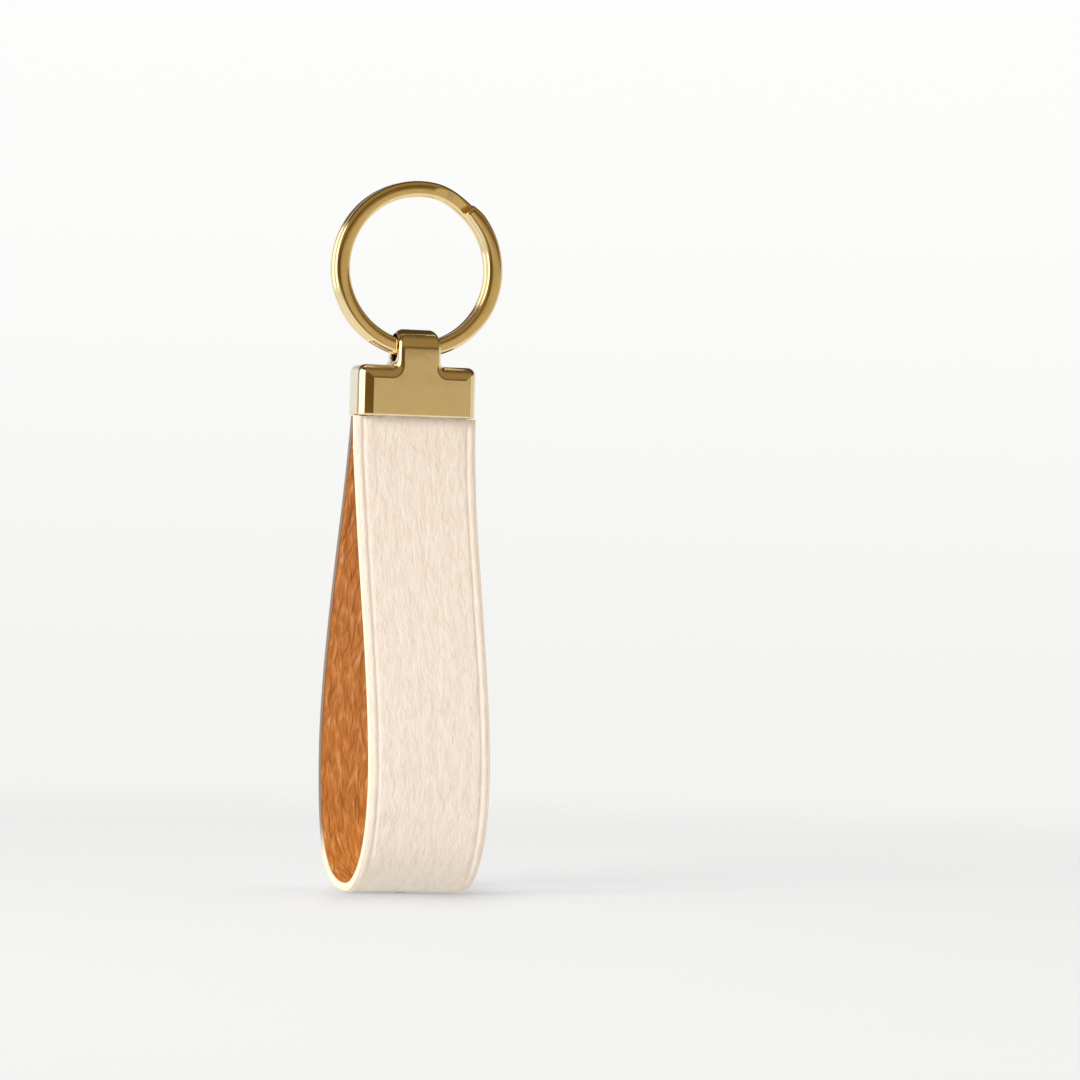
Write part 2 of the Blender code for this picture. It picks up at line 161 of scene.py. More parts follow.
def mesh_from(name, points, faces, attributes=None, sharp_from=SHARP_FROM):
    """A mesh that is merged, faces outwards and is smooth up to an angle in degrees."""
    mesh = bpy.data.meshes.new(name)
    mesh.from_pydata(points.reshape(-1, 3), [], faces)
    for key, values in (attributes or {}).items():
        keep(mesh, key, values)
    solid = bmesh.new()
    solid.from_mesh(mesh)
    bmesh.ops.remove_doubles(solid, verts=solid.verts, dist=MERGE_WITHIN)
    bmesh.ops.recalc_face_normals(solid, faces=solid.faces)
    if solid.calc_volume(signed=True) < 0:
        bmesh.ops.reverse_faces(solid, faces=solid.faces)
    solid.to_mesh(mesh)
    solid.free()
    mesh.shade_smooth()
    mesh.set_sharp_from_angle(angle=math.radians(sharp_from))
    return mesh


print("3 rings of 4 points make a tube of", len(tube_faces(3, 4)), "faces")

# %% [markdown]
# ## Shader sums as plain Python
#
# A finish is built from many small sums. One small class wraps a socket and takes over +, -, * and **, so
# that 1 - mask adds its Math nodes by itself. Colours never pass through a Math node, which would turn them
# grey: they are mixed. Each other node comes from one method, with its settings first and its inputs after.


# %% Wrap sockets
class Signal:
    """A socket that stands in a sum. Numbers may stand on either side of it."""

    def __init__(self, graph, socket):
        self.graph, self.socket = graph, socket

    def maths(self, operation, *terms, clamp=False):
        settings = {"operation": operation, "use_clamp": clamp}
        return self.graph.node("Math", settings, dict(enumerate(terms)))

    def __add__(self, other):
        return self.maths("ADD", self, other)

    def __sub__(self, other):
        return self.maths("SUBTRACT", self, other)

    def __rsub__(self, other):
        return self.maths("SUBTRACT", other, self)

    def __mul__(self, other):
        return self.maths("MULTIPLY", self, other)

    def __pow__(self, other):
        return self.maths("POWER", self, other)

    __radd__ = __add__
    __rmul__ = __mul__

    def clamped(self):
        return self.maths("ADD", self, 0.0, clamp=True)

    def larger(self, other):
        return self.maths("MAXIMUM", self, other)


# %% Wrap the nodes that the finishes use
class Graph:
    """The nodes of one material or world."""

    def __init__(self, tree):
        self.tree = tree
        tree.nodes.clear()

    def node(self, kind, settings=None, values=None, out=0):
        """Adds a node of a type, makes its settings, then links or sets its inputs, and gives one output."""
        made = self.tree.nodes.new("ShaderNode" + kind)
        for key, value in (settings or {}).items():
            setattr(made, key, value)
        for key, value in (values or {}).items():
            if isinstance(value, Signal):
                self.tree.links.new(value.socket, made.inputs[key])
            else:
                made.inputs[key].default_value = value
        return Signal(self, made.outputs[out]) if made.outputs else None

    def axes(self, vector):
        """The three parts of a vector."""
        split = self.node("SeparateXYZ", {}, {0: vector}).socket.node
        return [Signal(self, part) for part in split.outputs]

    def colour_mix(self, factor, low, high):
        """The colour low where the factor is 0, and high where it is 1."""
        settings = {"data_type": "RGBA", "clamp_factor": True}
        low, high = (colour if isinstance(colour, Signal) else (*colour, 1) for colour in (low, high))
        return self.node("Mix", settings, {0: factor, 6: low, 7: high}, out=2)

    def stretched(self, vector, scale):
        """A pattern's coordinates, each multiplied by its own scale: how often it repeats in a metre."""
        return self.node("VectorMath", {"operation": "MULTIPLY"}, {0: vector, 1: scale})

    def slanted(self, vector, scale, lean):
        """Stretched coordinates that are then turned in the strap's face, by an angle in radians."""
        return self.node("Mapping", {}, {"Vector": vector, "Rotation": (0, lean, 0), "Scale": scale})

    def warped(self, vector, scale, amount):
        """Coordinates pushed about by a soft noise, so that a pattern loses its straight lines."""
        push = self.node("TexNoise", {}, {"Vector": vector, "Scale": scale, "Detail": 2.0}, out="Color")
        centred = self.node("VectorMath", {"operation": "SUBTRACT"}, {0: push, 1: (0.5, 0.5, 0.5)})
        values = {0: centred, 1: (amount,) * 3, 2: vector}
        return self.node("VectorMath", {"operation": "MULTIPLY_ADD"}, values)

    def noise(self, vector, scale, detail, roughness=0.5):
        """Soft noise about 0.5, with one scale or one by axis. Each octave is fainter by the roughness."""
        if isinstance(scale, tuple):
            vector, scale = self.stretched(vector, scale), 1.0
        values = {"Vector": vector, "Scale": scale, "Detail": detail, "Roughness": roughness}
        return self.node("TexNoise", {}, values)

    def borders(self, vector):
        """How far a spot is from the border between two cells of a random mosaic."""
        return self.node("TexVoronoi", {"feature": "DISTANCE_TO_EDGE"}, {"Vector": vector, "Scale": 1.0})

    def step(self, value, low, high):
        """An S curve from 0 at low to 1 at high. It falls where low is the greater."""
        return self.node("MapRange", {"interpolation_type": "SMOOTHSTEP"}, {0: value, 1: low, 2: high})

    def bump(self, height, distance, strength, under=None):
        """Relief: the height times a distance in metres, over another relief if there is one."""
        values = {"Height": height, "Distance": distance, "Strength": strength}
        if under is not None:
            values["Normal"] = under
        return self.node("Bump", {}, values)


def finish(name, build):
    """A material from build(graph), which gives the sockets of a Principled shader, or a whole shader."""
    material = bpy.data.materials.new(name)
    material.use_nodes = True
    graph = Graph(material.node_tree)
    made = build(graph)
    shader = made if isinstance(made, Signal) else graph.node("BsdfPrincipled", {}, made)
    graph.node("OutputMaterial", {}, {"Surface": shader})
    print(name, len(material.node_tree.nodes), "nodes")
    return material


# %% [markdown]
# ## Pale gold plate
#
# The ring and the clamp are cast or drawn brass under a thin polished gold plate. Plate of this kind is a
# nearly perfect mirror, so its looks are mostly its surroundings. What breaks the mirror is small: a soft
# haze from handling, hair-fine polishing lines, and rubbed edges where the warmer metal comes through.
# The attribute "edge" is worked out from each piece's own normals and says how rounded a spot is.

# %% Make the gold finishes
RING_GOLD = (0.88, 0.72, 0.44)
CLAMP_GOLD = (0.86, 0.755, 0.55)
SCREW_GOLD = (0.80, 0.68, 0.46)
WORN_GOLD = (0.82, 0.66, 0.40)
SMUDGE_SCALE, RUB_SCALE, PIT_SCALE = 420, 900, 5200
POLISH_DEPTH = 0.0012 * MM
PIT_DEPTH = 0.0006 * MM


def gold(colour, haze, polish_scale, polish_strength=0.18):
    """The recipe of a plate: its colour, its haze, and its polishing lines with a scale along each axis."""

    def build(graph):
        place = graph.node("TexCoord", out="Object")
        edge = graph.node("Attribute", {"attribute_name": "edge"}, out="Fac")
        smudge = graph.step(graph.noise(place, SMUDGE_SCALE, 3), 0.42, 0.72)
        rubbed = (graph.noise(place, RUB_SCALE, 4, 0.6) * edge * 1.1).clamped()
        lines = graph.noise(place, polish_scale, 2, 0.6)
        pitted = graph.bump(graph.noise(place, PIT_SCALE, 2, 0.6), PIT_DEPTH, polish_strength * 0.3)
        return {
            "Base Color": graph.colour_mix(rubbed, colour, WORN_GOLD),
            "Metallic": 1.0,
            "Roughness": haze + smudge * 0.035 + lines * 0.02 + rubbed * 0.05,
            "Normal": graph.bump(lines, POLISH_DEPTH, polish_strength, pitted),
        }

    return build


ring_gold = finish("ring gold", gold(RING_GOLD, 0.075, (1500, 2600, 1500), 0.04))
clamp_gold = finish("clamp gold", gold(CLAMP_GOLD, 0.08, (700, 700, 9000)))
screw_gold = finish("screw gold", gold(SCREW_GOLD, 0.20, (9000, 900, 9000)))

# %% [markdown]
# ## Cream leather
#
# The outer leather has a fine printed grain: shallow creases that run down the strap, crossed by weaker
# slanting ones, on a satin face. The pattern lives in the strap's flat state. The attribute "unrolled" holds
# each point's place before the strap was folded: across, out of the face, and along. Pebbles stretched
# along the strap, pushed about by noise, give creases of uneven length. Creases, the hollows of the folds
# and the low sides of the streaks are painted a little darker, as shade. A picture of leather would repeat,
# and blur from near by; a pattern of nodes does neither.

# %% Make the cream leather
CREAM = (0.81, 0.742, 0.72)
CREAM_SHADE = (0.72, 0.645, 0.595)
LONG_GRAIN = (780, 0, 330)
CROSS_GRAIN = (1300, 0, 560)
CROSS_LEAN = 0.5
FOLD_GRAIN = (700, 0, 290)
STREAK_GRAIN = (1700, 0, 480)
PORE_GRAIN = (7000, 0, 5200)
CREAM_RELIEF = 0.11 * MM


def cream_leather(graph):
    """Creases are the borders of two mosaics, kept where the streaks are strong, over slower folds."""
    flat = graph.node("Attribute", {"attribute_name": "unrolled"}, out="Vector")
    long_grain = graph.borders(graph.warped(graph.stretched(flat, LONG_GRAIN), 0.9, 1.5))
    cross_grain = graph.borders(graph.warped(graph.slanted(flat, CROSS_GRAIN, CROSS_LEAN), 0.8, 0.9))
    folds = graph.noise(graph.warped(graph.stretched(flat, FOLD_GRAIN), 0.9, 1.2), 1.0, 3)
    streaks = graph.noise(flat, STREAK_GRAIN, 3, 0.55)
    pores = graph.noise(flat, PORE_GRAIN, 2)
    creased = 1 - graph.step(long_grain, 0.0, 0.34)
    crossed = 1 - graph.step(cross_grain, 0.0, 0.22)
    depth = (creased * 0.6 + crossed * 0.3) * graph.step(streaks, 0.38, 0.62)
    # Painted shade: darker in the creases, the hollows of the folds and the low sides of the streaks.
    painted_shade = (depth * 0.5 + graph.step(folds, 0.62, 0.35) * 0.45 + (1 - streaks) * 0.3 - 0.12).clamped()
    relief = folds * 2.2 + streaks * 0.8 - depth * 0.6 + pores * 0.1
    return {
        "Base Color": graph.colour_mix(painted_shade, CREAM, CREAM_SHADE),
        "Roughness": 0.5 + depth * 0.1 - streaks * 0.06,
        "IOR": 1.45,
        "Specular IOR Level": 0.35,
        "Normal": graph.bump(relief, CREAM_RELIEF, 0.85),
    }


cream = finish("cream leather", cream_leather)

# %% [markdown]
# ## Tan lining
#
# The lining is plain tan leather with its natural grain: long leaning strokes, with thin valleys between
# them here and there. Its colour is painted lighter on the crests, as a highlight, and darker in the hollows
# and the valleys, as shade. One noise, stretched along the strap and leaned over, gives colour and relief
# together, so that the two agree.

# %% Make the tan lining
TAN = (0.57, 0.218, 0.046)
TAN_PALE_AND_HIGHLIGHT = (0.75, 0.36, 0.15)
TAN_SHADE = (0.37, 0.12, 0.024)
STROKE_GRAIN = (850, 0, 250)
STROKE_LEAN = -0.22
FINE_GRAIN = (4200, 0, 1900)
PATCH_GRAIN = (240, 0, 90)
TAN_RELIEF = 0.16 * MM


def tan_leather(graph):
    """Strokes are a warped noise. Valleys are the borders of a mosaic, kept in patches."""
    flat = graph.node("Attribute", {"attribute_name": "unrolled"}, out="Vector")
    wavy = graph.warped(graph.slanted(flat, STROKE_GRAIN, STROKE_LEAN), 0.7, 1.0)
    strokes = graph.noise(wavy, 1.3, 3)
    fine = graph.noise(flat, FINE_GRAIN, 3, 0.6)
    patches = graph.noise(flat, PATCH_GRAIN, 2)
    valley = (1 - graph.step(graph.borders(wavy), 0.0, 0.24)) * graph.step(patches, 0.3, 0.55)
    crest = graph.step(strokes, 0.5, 0.68)
    hollow = graph.step(strokes, 0.5, 0.32)
    # Painted highlight on the crests, and painted shade in the hollows and the valleys.
    shade = graph.colour_mix(hollow * 0.45 + valley * 0.45, graph.colour_mix(crest, TAN, TAN_PALE_AND_HIGHLIGHT), TAN_SHADE)
    relief = strokes * 2.5 - valley * 0.65 + fine * 0.12
    return {
        "Base Color": graph.colour_mix(fine * 0.12, shade, TAN_PALE_AND_HIGHLIGHT),
        "Roughness": 0.50 + hollow * 0.18 - crest * 0.1,
        "Specular IOR Level": 0.4,
        "Normal": graph.bump(relief, TAN_RELIEF, 0.95),
    }


tan = finish("tan lining", tan_leather)

# %% [markdown]
# ## Edge paint
#
# The raw edges of both leathers are sealed with several coats of thick paint, which dries to a smooth glossy
# bead, slightly creamier than the face. Along the back leg the bead is thinner and dark brown, which is what
# the photograph shows there. A long noise along the edge gives it the uneven level of a brushed coat.

# %% Make the edge paint
PAINT = (0.79, 0.73, 0.595)
PAINT_BACK_LEG = (0.20, 0.13, 0.09)
BRUSH_GRAIN = (900, 900, 260)
DUST_SCALE = 6000
BRUSH_RELIEF = 0.06 * MM
DUST_RELIEF = 0.004 * MM


def edge_paint(graph):
    """Paint over an even dust, turning dark brown along the back leg."""
    flat = graph.node("Attribute", {"attribute_name": "unrolled"}, out="Vector")
    back_leg_share = graph.node("Attribute", {"attribute_name": "back_leg_share"}, out="Fac")
    level = graph.noise(flat, BRUSH_GRAIN, 3)
    dust = graph.noise(flat, DUST_SCALE, 2)
    return {
        "Base Color": graph.colour_mix(back_leg_share, PAINT, PAINT_BACK_LEG),
        "Roughness": 0.38 + level * 0.12 + dust * 0.05,
        "IOR": 1.5,
        "Coat Weight": 0.12,
        "Coat Roughness": 0.15,
        "Normal": graph.bump(level, BRUSH_RELIEF, 0.5, graph.bump(dust, DUST_RELIEF, 0.4)),
    }


paint = finish("edge paint", edge_paint)

# %% [markdown]
# ## The split ring
#
# One flat wire goes round nearly twice, and steps from the front turn to the back turn at one o'clock. Its
# corners are softly rounded, which draws the long bright and dark streaks round the ring. A torus would be
# quicker, but it has neither flat faces nor a step. Here a rounded section is carried along the coil.

# %% Draw the wire's section
RING_RADIUS = 13.8 * MM
WIRE_WIDTH = 2.5 * MM
WIRE_THICKNESS = 1.65 * MM
WIRE_EDGE = 0.65 * MM
WIRE_DOME = 0.05


def wire_section():
    """A rectangle with quarter circles for its corners, as (radial, axial). Its two wide faces are domed: the
    axial part shrinks by 1 - d u^2, with u the radial place over half the width."""
    corner = stacked(np.cos(quarter(15)), np.sin(quarter(15))) * WIRE_EDGE
    corner += (WIRE_WIDTH / 2 - WIRE_EDGE, WIRE_THICKNESS / 2 - WIRE_EDGE)
    face = stacked(np.linspace(1, -1, 10)[1:-1] * (WIRE_WIDTH / 2 - WIRE_EDGE), WIRE_THICKNESS / 2)
    half = np.concatenate((corner, face, corner[::-1] * (-1, 1)))
    section = np.concatenate((half, -half))
    section[:, 1] *= 1 - WIRE_DOME * (section[:, 0] / (WIRE_WIDTH / 2)) ** 2
    return section


print("the wire's section has", len(wire_section()), "points")

# %% Carry the wire round the coil
TURN_PITCH = 1.75 * MM
CROSSOVER_LENGTH = 6.6 * MM
WIRE_END_GAP = 0.14 * MM
FRONT_END_TURN = 0.108
TAPER_LENGTH = 2.4 * MM
TAPER_SHARE = 0.82
TIP_LENGTH = 0.5 * MM
TIP_WIDTH_SHARE = 0.84
TIP_THICKNESS_SHARE = 0.6
ring_centre = WIRE_WIDTH - RING_RADIUS


def split_ring():
    """Station t runs along the clock angle a, and the section's radial and axial offsets r and y join it:
    x = (R + r) sin a, z = (R + r) cos a, and the depth steps back by one pitch over the crossover as
    3t^2 - 2t^3. Near each end of the wire the section narrows on the same kind of curve, and its tip
    shrinks on an ellipse, which rounds the end."""
    wire_radius = RING_RADIUS - WIRE_WIDTH / 2
    crossover, tip = CROSSOVER_LENGTH / wire_radius, TIP_LENGTH / wire_radius
    first = math.tau * FRONT_END_TURN + WIRE_END_GAP / wire_radius
    last = math.tau * (FRONT_END_TURN + 2) - (CROSSOVER_LENGTH + WIRE_END_GAP) / wire_radius
    tips = tip * (1 - np.cos(quarter(10)))
    clock = np.concatenate((first + tips, np.linspace(first + tip, last - tip, 900)[1:-1], last - tips[::-1]))
    start = math.tau * (FRONT_END_TURN + 1) - crossover
    depth = TURN_PITCH * (eased((clock - start) / crossover) - 0.5)
    to_end = np.minimum(clock - first, last - clock)[:, None]
    full = TAPER_SHARE + (1 - TAPER_SHARE) * eased(to_end * wire_radius / TAPER_LENGTH)
    rise = np.sqrt(1 - (1 - np.clip(to_end / tip, 0, 1)) ** 2)
    section = wire_section()
    width = full * (TIP_WIDTH_SHARE + (1 - TIP_WIDTH_SHARE) * rise)
    thickness = TIP_THICKNESS_SHARE + (1 - TIP_THICKNESS_SHARE) * rise
    radial = wire_radius + section[:, 0] * width
    axial = depth[:, None] + section[:, 1] * thickness
    clock = clock[:, None]
    points = stacked(radial * np.sin(clock), axial, ring_centre + radial * np.cos(clock))
    return mesh_from("split_ring", points, tube_faces(*points.shape[:2]))


ring_mesh = split_ring()
print("wire ends near", round(FRONT_END_TURN * 12, 1), "o'clock")

# %% [markdown]
# ## Placing a piece, and where plate wears
#
# A finished piece rides on its body, so that it moves as its solid does, and stands in that solid's place.
# Plate wears first where a surface rolls over an edge. That could be painted by hand, but the normals tell
# it: on a flat face the normal lies along one of the piece's own directions, and on a rounding between two.


# %% Put pieces in place and mark the edges
def put(name, mesh, body, node, material):
    """A finished piece: it rides on its body, stands for its solid and takes the finish of its slot."""
    piece = in_scene(name, mesh)
    mesh.materials.clear()
    mesh.materials.append(material)
    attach(piece, body)
    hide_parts(node)
    print(name, len(mesh.vertices), "points,", [round(side / MM, 2) for side in piece.dimensions], "mm")


def along_axes(normals):
    """How squarely each normal faces along an axis."""
    return normals.max(axis=1)


def along_ring(normals):
    """How squarely each normal faces along the ring's axis, y, or along its radius."""
    return np.maximum(normals[:, 1], np.sqrt(np.clip(1 - normals[:, 1] ** 2, 0, 1)))


def mark_edges(mesh, squareness):
    """The attribute "edge": (1 - s) / (1 - sqrt 1/2), with s how squarely the normal faces a direction of
    the piece. It is 0 on a flat face and 1 in the middle of a rounding."""
    normals = np.zeros(len(mesh.vertices) * 3, np.float32)
    mesh.vertex_normals.foreach_get("vector", normals)
    square = squareness(np.abs(normals.reshape(-1, 3)))
    keep(mesh, "edge", np.clip((1 - square) / (1 - math.sqrt(0.5)), 0, 1))


mark_edges(ring_mesh, along_ring)
put("ring_coil", ring_mesh, "ring", "split_ring", ring_gold)

# %% [markdown]
# ## The clamp
#
# The clamp is a T-shaped casting: a deep rounding runs all along its front edges, and the tab ends in a half
# round that holds the ring's eye. It is laid out as ribs. Each rib starts on the flat front, rolls over the
# front edge, crosses the side wall and rolls onto the back, and the ribs follow the outline of the T from
# the foot to the top. A bevel on a box would be quicker, but its roundings could not change along the edge.
# One extra column on the flat keeps the flat faces perfectly flat in the shading.

# %% Draw the outline of the T
CLAMP_WIDTH = 19.35 * MM
CLAMP_DEPTH = 6.6 * MM
SHOULDER_HEIGHT = 8.0 * MM
CLAMP_HEIGHT = 13.85 * MM
CORNER_RADIUS = 1.4 * MM
FRONT_RADIUS = 2.15 * MM
BACK_RADIUS = 0.8 * MM
FOOT_RADIUS = 0.3 * MM
TAB_WIDTH = 6.95 * MM
TAB_EDGE = 0.85 * MM
TAB_ROOT = 1.0 * MM
MITRE_SHARE = 0.97
NO_MITRE = CLAMP_WIDTH
ARC = 20


def outline_arc(x, z, radius, across, up, front, back, mitre):
    """Outline rows on an arc about a centre, from its normals. A hollow arc has a negative radius."""
    return stacked(x + radius * across, z + radius * up, across, up, front, back, mitre)


def clamp_outline():
    """The right half of the T from the foot up, in seven columns: x, z, the normal's x and z, the front and
    the back rounding, and how far in a corner's ribs go before they meet in a mitre.

    The outer corner is an arc of the corner radius, and the root of the tab a hollow arc along which the
    front and back roundings blend from the shoulder's to the tab's."""
    sine, cosine = np.sin(quarter(ARC)), np.cos(quarter(ARC))
    foot_row = stacked([CLAMP_WIDTH / 2], FOOT_RADIUS, 1, 0, FRONT_RADIUS, BACK_RADIUS, NO_MITRE)
    x, z = CLAMP_WIDTH / 2 - CORNER_RADIUS, SHOULDER_HEIGHT - CORNER_RADIUS
    mitre = MITRE_SHARE * CORNER_RADIUS
    corner = outline_arc(x, z, CORNER_RADIUS, cosine, sine, FRONT_RADIUS, BACK_RADIUS, mitre)
    x, z = TAB_WIDTH / 2 + TAB_ROOT, SHOULDER_HEIGHT + TAB_ROOT
    front, back = (radius + (TAB_EDGE - radius) * sine**2 for radius in (FRONT_RADIUS, BACK_RADIUS))
    root = outline_arc(x, z, -TAB_ROOT, sine, cosine, front, back, NO_MITRE)
    return np.concatenate((foot_row, corner, root))


print("half the outline has", len(clamp_outline()), "rows")

# %% Lay ribs along the outline, the foot and the top
TAB_CREST_EDGE = 1.25 * MM
TAB_CAMBER = 0.28 * MM
SUPPORT = 0.04 * MM
FOOT_ARC, TOP_ARC = 8, 28


def rib_points(rows):
    """One rib for each outline row: inset r (1 - sin a) from the wall and r (1 - cos a) from the face. Past
    the corner's centre the inset goes on at 45 degrees, so that the two roundings meet in a mitre."""
    turn = quarter(ARC)
    x, z, across, up, front, back, arc = (rows[:, k, None] for k in range(7))
    wall_in, face_in = 1 - np.sin(turn), 1 - np.cos(turn)
    inset = np.concatenate((front + SUPPORT, front * wall_in, back * wall_in[::-1], back + SUPPORT), axis=1)
    front_side, back_side = -CLAMP_DEPTH / 2 + 0 * front, CLAMP_DEPTH / 2 + 0 * back
    rolled = (front_side, front * face_in + front_side, back_side - back * face_in[::-1], back_side)
    square, mitre = np.minimum(inset, arc), np.maximum(inset - arc, 0)
    return stacked(x - across * square - mitre, np.concatenate(rolled, axis=1), z - up * square - mitre)


def foot_points(first_rib):
    """The lowest rib drawn in round the foot's small edge: in by r (1 - cos a) and down by r sin a."""
    down = quarter(FOOT_ARC + 1)[:0:-1, None]
    turn = quarter(ARC)
    outward = np.concatenate(([0], np.sin(turn), np.sin(turn)[::-1], [0]))
    forward = np.concatenate(([-1], -np.cos(turn), np.cos(turn)[::-1], [1]))
    drawn_in = FOOT_RADIUS * (1 - np.cos(down))
    ribs = np.repeat(first_rib[None], len(down), axis=0)
    ribs[..., 0] -= drawn_in * outward
    ribs[..., 1] -= drawn_in * forward
    ribs[..., 2] = FOOT_RADIUS * (1 - np.sin(down))
    return ribs


def top_points():
    """Ribs of the half-round top: the front half turned up about the tab's centre line by an angle, and the
    back half as its mirror image, until the two meet on the crest, which is cambered from side to side. The
    first point of each rib lies a support's width further in on the flat."""
    lift, turn = quarter(TOP_ARC)[:, None], quarter(ARC)
    edge = TAB_EDGE + (TAB_CREST_EDGE - TAB_EDGE) * np.sin(lift) ** 2
    x = TAB_WIDTH / 2 - edge * np.concatenate(([1], 1 - np.sin(turn))) - SUPPORT * np.eye(1, ARC + 1)
    radius = CLAMP_DEPTH / 2 - edge * np.concatenate(([0], 1 - np.cos(turn)))
    height = CLAMP_HEIGHT - CLAMP_DEPTH / 2 + radius * np.sin(lift)
    height -= TAB_CAMBER * (x / (TAB_WIDTH / 2)) ** 2 * np.sin(lift) ** 2
    front = stacked(x, -radius * np.cos(lift), height)
    return np.concatenate((front, front[:, ::-1] * (1, -1, 1)), axis=1)


print("the half-round top has", top_points().shape[0], "ribs of", top_points().shape[1], "points")


# %% Join the two halves of the casting
def clamp_casting():
    """The right half's ribs and their mirror image, joined by the flat faces and the tab's round top."""
    wall = rib_points(clamp_outline())
    below, above = foot_points(wall[0]), top_points()
    half = np.concatenate((below, wall, above))
    rows, columns = half.shape[:2]
    points = np.concatenate((half.reshape(-1, 3), (half * (-1, 1, 1)).reshape(-1, 3)))
    points[:, 2] += foot
    quads = grid_faces(rows, columns)
    other = rows * columns
    faces = quads.tolist() + (quads[:, ::-1] + other).tolist()
    top_row = len(below) + len(wall)
    for column in (0, columns - 1):
        flat = [row * columns + column for row in range(len(below), top_row + 1)]
        faces.append(flat + [number + other for number in reversed(flat)])
        for row in [*range(len(below)), *range(top_row, rows - 1)]:
            here, after = row * columns + column, (row + 1) * columns + column
            faces.append([here, after, after + other, here + other])
    faces.append([*range(columns), *(k + other for k in reversed(range(columns)))])
    return mesh_from("clamp", points, faces)


clamp_mesh = clamp_casting()
print("casting", len(clamp_mesh.vertices), "points")

# %% [markdown]
# ## Cutting the casting
#
# The mould leaves a slot for the strap's ends below, the eye is drilled across the tab with a rounded rim,
# and two countersunk holes take the screws from behind. Boolean cuts do the same job here. Each cutter is a
# closed turned or boxed shape, used once and then removed, so that only the finished casting stays.


# %% Turn, box and cut
def turned(name, profile, centre, axis, steps=96):
    """A profile of (radius, height) pairs turned about an axis, x or y, through a centre."""
    around = np.linspace(0, math.tau, steps, endpoint=False)
    radius, height = np.array(profile).T[:, :, None]
    ring = (radius * np.cos(around), radius * np.sin(around), height)
    order = {"x": (2, 0, 1), "y": (0, 2, 1)}[axis]
    points = stacked(*(ring[k] for k in order)) + np.array(centre)
    return mesh_from(name, points, tube_faces(*points.shape[:2]))


def boxed(name, low, high):
    """A box between two corners."""
    corner = np.array([[x, y, z] for z in (0, 1) for x, y in ((0, 0), (1, 0), (1, 1), (0, 1))])
    points = np.array(low) + corner * (np.array(high) - np.array(low))
    return mesh_from(name, points, tube_faces(2, 4))


def cut(mesh, cutters):
    """Takes each cutter out of a mesh and gives the result as a new mesh."""
    body = in_scene("body", mesh)
    tools = [in_scene(cutter.name, cutter) for cutter in cutters]
    for tool in tools:
        step = body.modifiers.new(tool.name, "BOOLEAN")
        step.operation, step.solver, step.object = "DIFFERENCE", "EXACT", tool
    bpy.context.view_layer.update()
    result = bpy.data.meshes.new_from_object(body.evaluated_get(bpy.context.evaluated_depsgraph_get()))
    for used in (body, *tools):
        bpy.data.objects.remove(used)
    result.shade_smooth()
    result.set_sharp_from_angle(angle=math.radians(SHARP_FROM))
    return result


# %% Cut the slot, the eye and the screw holes
EYE_RADIUS = 2.16 * MM
EYE_RISE = 0.3 * MM
EYE_RIM = 0.3 * MM
POCKET_WIDTH, POCKET_DEPTH, POCKET_HEIGHT = 17.0 * MM, 3.8 * MM, 5.8 * MM
SCREW_SPACING = 9.0 * MM
SCREW_HEIGHT = 3.0 * MM
SCREW_HEAD = 1.5 * MM
SCREW_SHANK = 0.8 * MM
SCREW_BITE = 0.3 * MM
HEAD_LAND = 0.1 * MM
HOLE_PLAY = 0.15 * MM
OVERRUN = 1.0 * MM

eye_centre = foot + CLAMP_HEIGHT - CLAMP_DEPTH / 2 + EYE_RISE
rim = stacked(
    EYE_RADIUS + EYE_RIM * (1 - np.cos(quarter(9))),
    TAB_WIDTH / 2 - EYE_RIM * (1 - np.sin(quarter(9))),
)
rim = np.concatenate((rim, [[EYE_RADIUS + EYE_RIM, TAB_WIDTH / 2 + OVERRUN]]))
eye = turned("eye", np.concatenate((rim[::-1], rim * (1, -1))), (0, 0, eye_centre), "x")
slot_box = boxed(
    "slot",
    (-POCKET_WIDTH / 2, -POCKET_DEPTH / 2, foot - OVERRUN),
    (POCKET_WIDTH / 2, POCKET_DEPTH / 2, foot + POCKET_HEIGHT),
)
screw_places = [(side * SCREW_SPACING / 2, CLAMP_DEPTH / 2, foot + SCREW_HEIGHT) for side in (-1, 1)]
screw_depth = CLAMP_DEPTH - (CLAMP_DEPTH - POCKET_DEPTH) / 2 + SCREW_BITE
hole_head, hole_shank = SCREW_HEAD + HOLE_PLAY, SCREW_SHANK + HOLE_PLAY
hole_profile = (
    (hole_head, OVERRUN),
    (hole_head, -HEAD_LAND),
    (hole_shank, -HEAD_LAND - (hole_head - hole_shank)),
    (hole_shank, -screw_depth - HOLE_PLAY),
)
holes = [turned(f"hole{k}", hole_profile, place, "y") for k, place in enumerate(screw_places)]
clamp_mesh = cut(clamp_mesh, [slot_box, eye, *holes])
mark_edges(clamp_mesh, along_axes)
print("eye's centre at", round(eye_centre / MM, 3), "mm")
put("clamp_casting", clamp_mesh, "fob", "clamp_body", clamp_gold)

# %% [markdown]
# ## The screws
#
# Two countersunk screws go in from behind, through both ends of the strap. Their heads lie level with the
# back and have a plain slot. The photograph doesn't show them; clamps of this kind have them. Each is a
# profile turned about its axis, and its slot is cut as on a real one.

# %% Turn the screws and cut their slots
HEAD_RIM = 0.08 * MM
POLE = 0.02 * MM
SHANK_CHAMFER = 0.2 * MM
GROOVE_DEPTH, GROOVE_HALF = 0.3 * MM, 0.25 * MM


